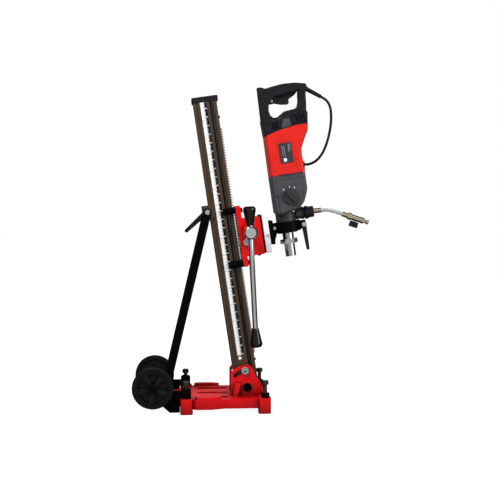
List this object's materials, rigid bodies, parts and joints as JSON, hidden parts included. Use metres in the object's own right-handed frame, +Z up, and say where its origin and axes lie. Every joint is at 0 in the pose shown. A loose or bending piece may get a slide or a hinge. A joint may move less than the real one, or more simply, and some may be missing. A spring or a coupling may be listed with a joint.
{
  "type": "core drill rig",
  "caption": "Tilting drill stand on a wheeled cast base, with a rack-fed carriage and a clamped wet core drill motor that has a D-handle, water feed and mains lead.",
  "frame": {"origin": "centre of the four screw bosses of the base, on the surface that the rig stands on; an anchor rod at the front end of the slot passes through it", "axes": "+X to the front, where the motor hangs; +Y to the far side; +Z up"},
  "size_m": [0.7135, 0.283, 0.9725],
  "materials": {
    "red_paint": "gloss enamel",
    "brown_anodised": "brown anodised, satin",
    "black_paint": "semi-gloss black",
    "black_plastic": "fine moulded grain",
    "black_rubber": "soft, matte",
    "tyre": "solid rubber",
    "chrome": "polished",
    "steel": "machined",
    "zinc": "zinc plated",
    "scale": "printed strip",
    "bronze": "sintered bronze",
    "brass": "nickel-plated brass",
    "light_alloy": "milled, bright",
    "case_grey": "cast, painted dark grey",
    "shell_red": "smooth moulded",
    "selector_grey": "moulded",
    "black_steel": "blackened, oiled",
    "iron_core": "laminated",
    "hose": "clear reinforced hose"
  },
  "bodies": {
    "base": {"base_casting": "red_paint", "base_fasteners": "black_paint", "wheel_bracket": "black_paint", "wheel_axle": "black_paint"},
    "near_wheel": {"near_wheel_rim": "black_plastic", "near_wheel_tyre": "tyre"},
    "far_wheel": {"far_wheel_rim": "black_plastic", "far_wheel_tyre": "tyre"},
    "screw_front_near": {"levelling_screw_front_near": "black_paint"},
    "screw_rear_near": {"levelling_screw_rear_near": "black_paint"},
    "screw_front_far": {"levelling_screw_front_far": "black_paint"},
    "screw_rear_far": {"levelling_screw_rear_far": "black_paint"},
    "column": {"column_profile": "brown_anodised", "column_foot": "brown_anodised", "column_cap": "black_plastic", "rack": "steel", "column_scale": "scale", "guide_rails": "black_steel", "tilt_bolts": "zinc"},
    "brace_slide_block": {"brace_slider": "brown_anodised", "brace_clamp_bolt": "zinc"},
    "brace": {"brace_bars": "black_paint"},
    "brace_lever": {"brace_clamp_lever": "black_plastic"},
    "carriage": {"carriage_plate": "red_paint", "gear_housing": "red_paint", "carriage_bushes": "bronze", "guide_arms": "black_paint", "carriage_screws": "black_paint", "spacer_plate": "black_paint", "adapter_plate": "light_alloy", "motor_bracket": "black_paint", "bracket_screws": "zinc"},
    "pinion": {"pinion_shaft": "steel"},
    "feed": {"feed_shaft": "steel", "feed_hub": "chrome"},
    "feed_handle": {"feed_bar": "chrome", "feed_grips": "black_rubber"},
    "collar_lever": {"collar_clamp_lever": "black_plastic"},
    "motor": {"gear_case": "case_grey", "motor_bearings": "steel", "bearing_plates": "light_alloy", "stator": "iron_core", "motor_shell": "shell_red", "handle_shell_near": "black_plastic", "handle_shell_far": "black_plastic", "water_inlet": "black_plastic", "hose_fittings": "brass", "water_hose": "hose", "strain_relief": "black_rubber", "mains_cord": "black_rubber", "cord_coil": "black_rubber", "cord_tie": "black_rubber", "plug": "black_rubber"},
    "spindle": {"spindle": "steel"},
    "idler": {"gear_train": "steel"},
    "armature": {"armature": "iron_core"},
    "trigger": {"trigger": "black_plastic"},
    "lock_button": {"lock_button": "zinc"},
    "gear_selector": {"gear_selector": "selector_grey"},
    "valve_lever": {"valve_lever": "black_plastic"}
  },
  "joints": [
    {"name": "tilt", "type": "hinge", "parent": "base", "child": "column", "pos_m": [0.068, 0, 0.065], "axis": [0, 1, 0], "range_deg": [-36.6, 8.4]},
    {"name": "brace_slide", "type": "slide", "parent": "column", "child": "brace_slide_block", "axis": [-0.1461, 0, 0.9893], "range_m": [-0.037, 0.158]},
    {"name": "brace_turn", "type": "hinge", "parent": "brace_slide_block", "child": "brace", "pos_m": [-0.05047, 0, 0.58659], "axis": [0, 1, 0], "range_deg": [-8, 2]},
    {"name": "brace_clamp", "type": "hinge", "parent": "brace_slide_block", "child": "brace_lever", "pos_m": [-0.05047, 0, 0.58659], "axis": [0, 1, 0], "range_deg": [-20, 90]},
    {"name": "carriage_slide", "type": "slide", "parent": "column", "child": "carriage", "axis": [-0.1461, 0, 0.9893], "range_m": [-0.27, 0.26]},
    {"name": "pinion_turn", "type": "hinge", "parent": "carriage", "child": "pinion", "pos_m": [0.0668, 0, 0.49928], "axis": [0, 1, 0], "range_deg": [-660, 660]},
    {"name": "feed_turn", "type": "hinge", "parent": "carriage", "child": "feed", "pos_m": [0.07011, 0, 0.52986], "axis": [0, 1, 0], "range_deg": [-1270, 1270]},
    {"name": "feed_bar_slide", "type": "slide", "parent": "feed", "child": "feed_handle", "axis": [-0.0506, 0, 0.9987], "range_m": [0, 0.25]},
    {"name": "collar_clamp", "type": "hinge", "parent": "carriage", "child": "collar_lever", "pos_m": [0.23888, 0, 0.55067], "axis": [0, 1, 0], "range_deg": [-30, 20]},
    {"name": "motor_swivel", "type": "hinge", "parent": "carriage", "child": "motor", "pos_m": [0.19048, 0, 0.54302], "axis": [-0.1461, 0, 0.9893], "range_deg": [-25, 40]},
    {"name": "armature_turn", "type": "hinge", "parent": "motor", "child": "armature", "pos_m": [0.19008, 0, 0.68953], "axis": [-0.1461, 0, 0.9893], "continuous": true},
    {"name": "idler_turn", "type": "hinge", "parent": "motor", "child": "idler", "pos_m": [0.1976, 0.02394, 0.65021], "axis": [-0.1461, 0, 0.9893], "continuous": true},
    {"name": "spindle_turn", "type": "hinge", "parent": "motor", "child": "spindle", "pos_m": [0.19121, 0, 0.53807], "axis": [-0.1461, 0, 0.9893], "continuous": true},
    {"name": "trigger_pull", "type": "hinge", "parent": "motor", "child": "trigger", "pos_m": [0.15322, 0, 0.91861], "axis": [0, -1, 0], "range_deg": [0, 5], "stiffness_Nm_per_rad": 2, "springref_deg": -20.05},
    {"name": "lock_press", "type": "slide", "parent": "motor", "child": "lock_button", "axis": [0, 1, 0], "range_m": [0, 0.002], "stiffness_N_per_m": 400, "springref_m": -0.003},
    {"name": "gear_select", "type": "hinge", "parent": "motor", "child": "gear_selector", "pos_m": [0.19642, -0.046, 0.63285], "axis": [0, 1, 0], "range_deg": [0, 67]},
    {"name": "valve_turn", "type": "hinge", "parent": "motor", "child": "valve_lever", "pos_m": [0.39731, 0, 0.55705], "axis": [-0.3173, 0, -0.9483], "range_deg": [0, 90]},
    {"name": "near_wheel_turn", "type": "hinge", "parent": "base", "child": "near_wheel", "pos_m": [-0.212, -0.107, 0.078], "axis": [0, 1, 0], "continuous": true},
    {"name": "far_wheel_turn", "type": "hinge", "parent": "base", "child": "far_wheel", "pos_m": [-0.212, 0.107, 0.078], "axis": [0, 1, 0], "continuous": true},
    {"name": "level_front_near", "type": "slide", "parent": "base", "child": "screw_front_near", "axis": [0, 0, 1], "range_m": [-0.012, 0.03]},
    {"name": "level_rear_near", "type": "slide", "parent": "base", "child": "screw_rear_near", "axis": [0, 0, 1], "range_m": [-0.007, 0.03]},
    {"name": "level_front_far", "type": "slide", "parent": "base", "child": "screw_front_far", "axis": [0, 0, 1], "range_m": [-0.012, 0.03]},
    {"name": "level_rear_far", "type": "slide", "parent": "base", "child": "screw_rear_far", "axis": [0, 0, 1], "range_m": [-0.007, 0.03]}
  ],
  "couplings": [
    {"joint": "brace_slide", "follows": "tilt", "m_per_rad": -0.2447},
    {"joint": "brace_turn", "follows": "tilt", "ratio": 0.2},
    {"joint": "pinion_turn", "follows": "carriage_slide", "rad_per_m": -42.105},
    {"joint": "feed_turn", "follows": "carriage_slide", "rad_per_m": 81.203},
    {"joint": "idler_turn", "follows": "armature_turn", "ratio": -0.33333},
    {"joint": "spindle_turn", "follows": "armature_turn", "ratio": 0.125}
  ]
}
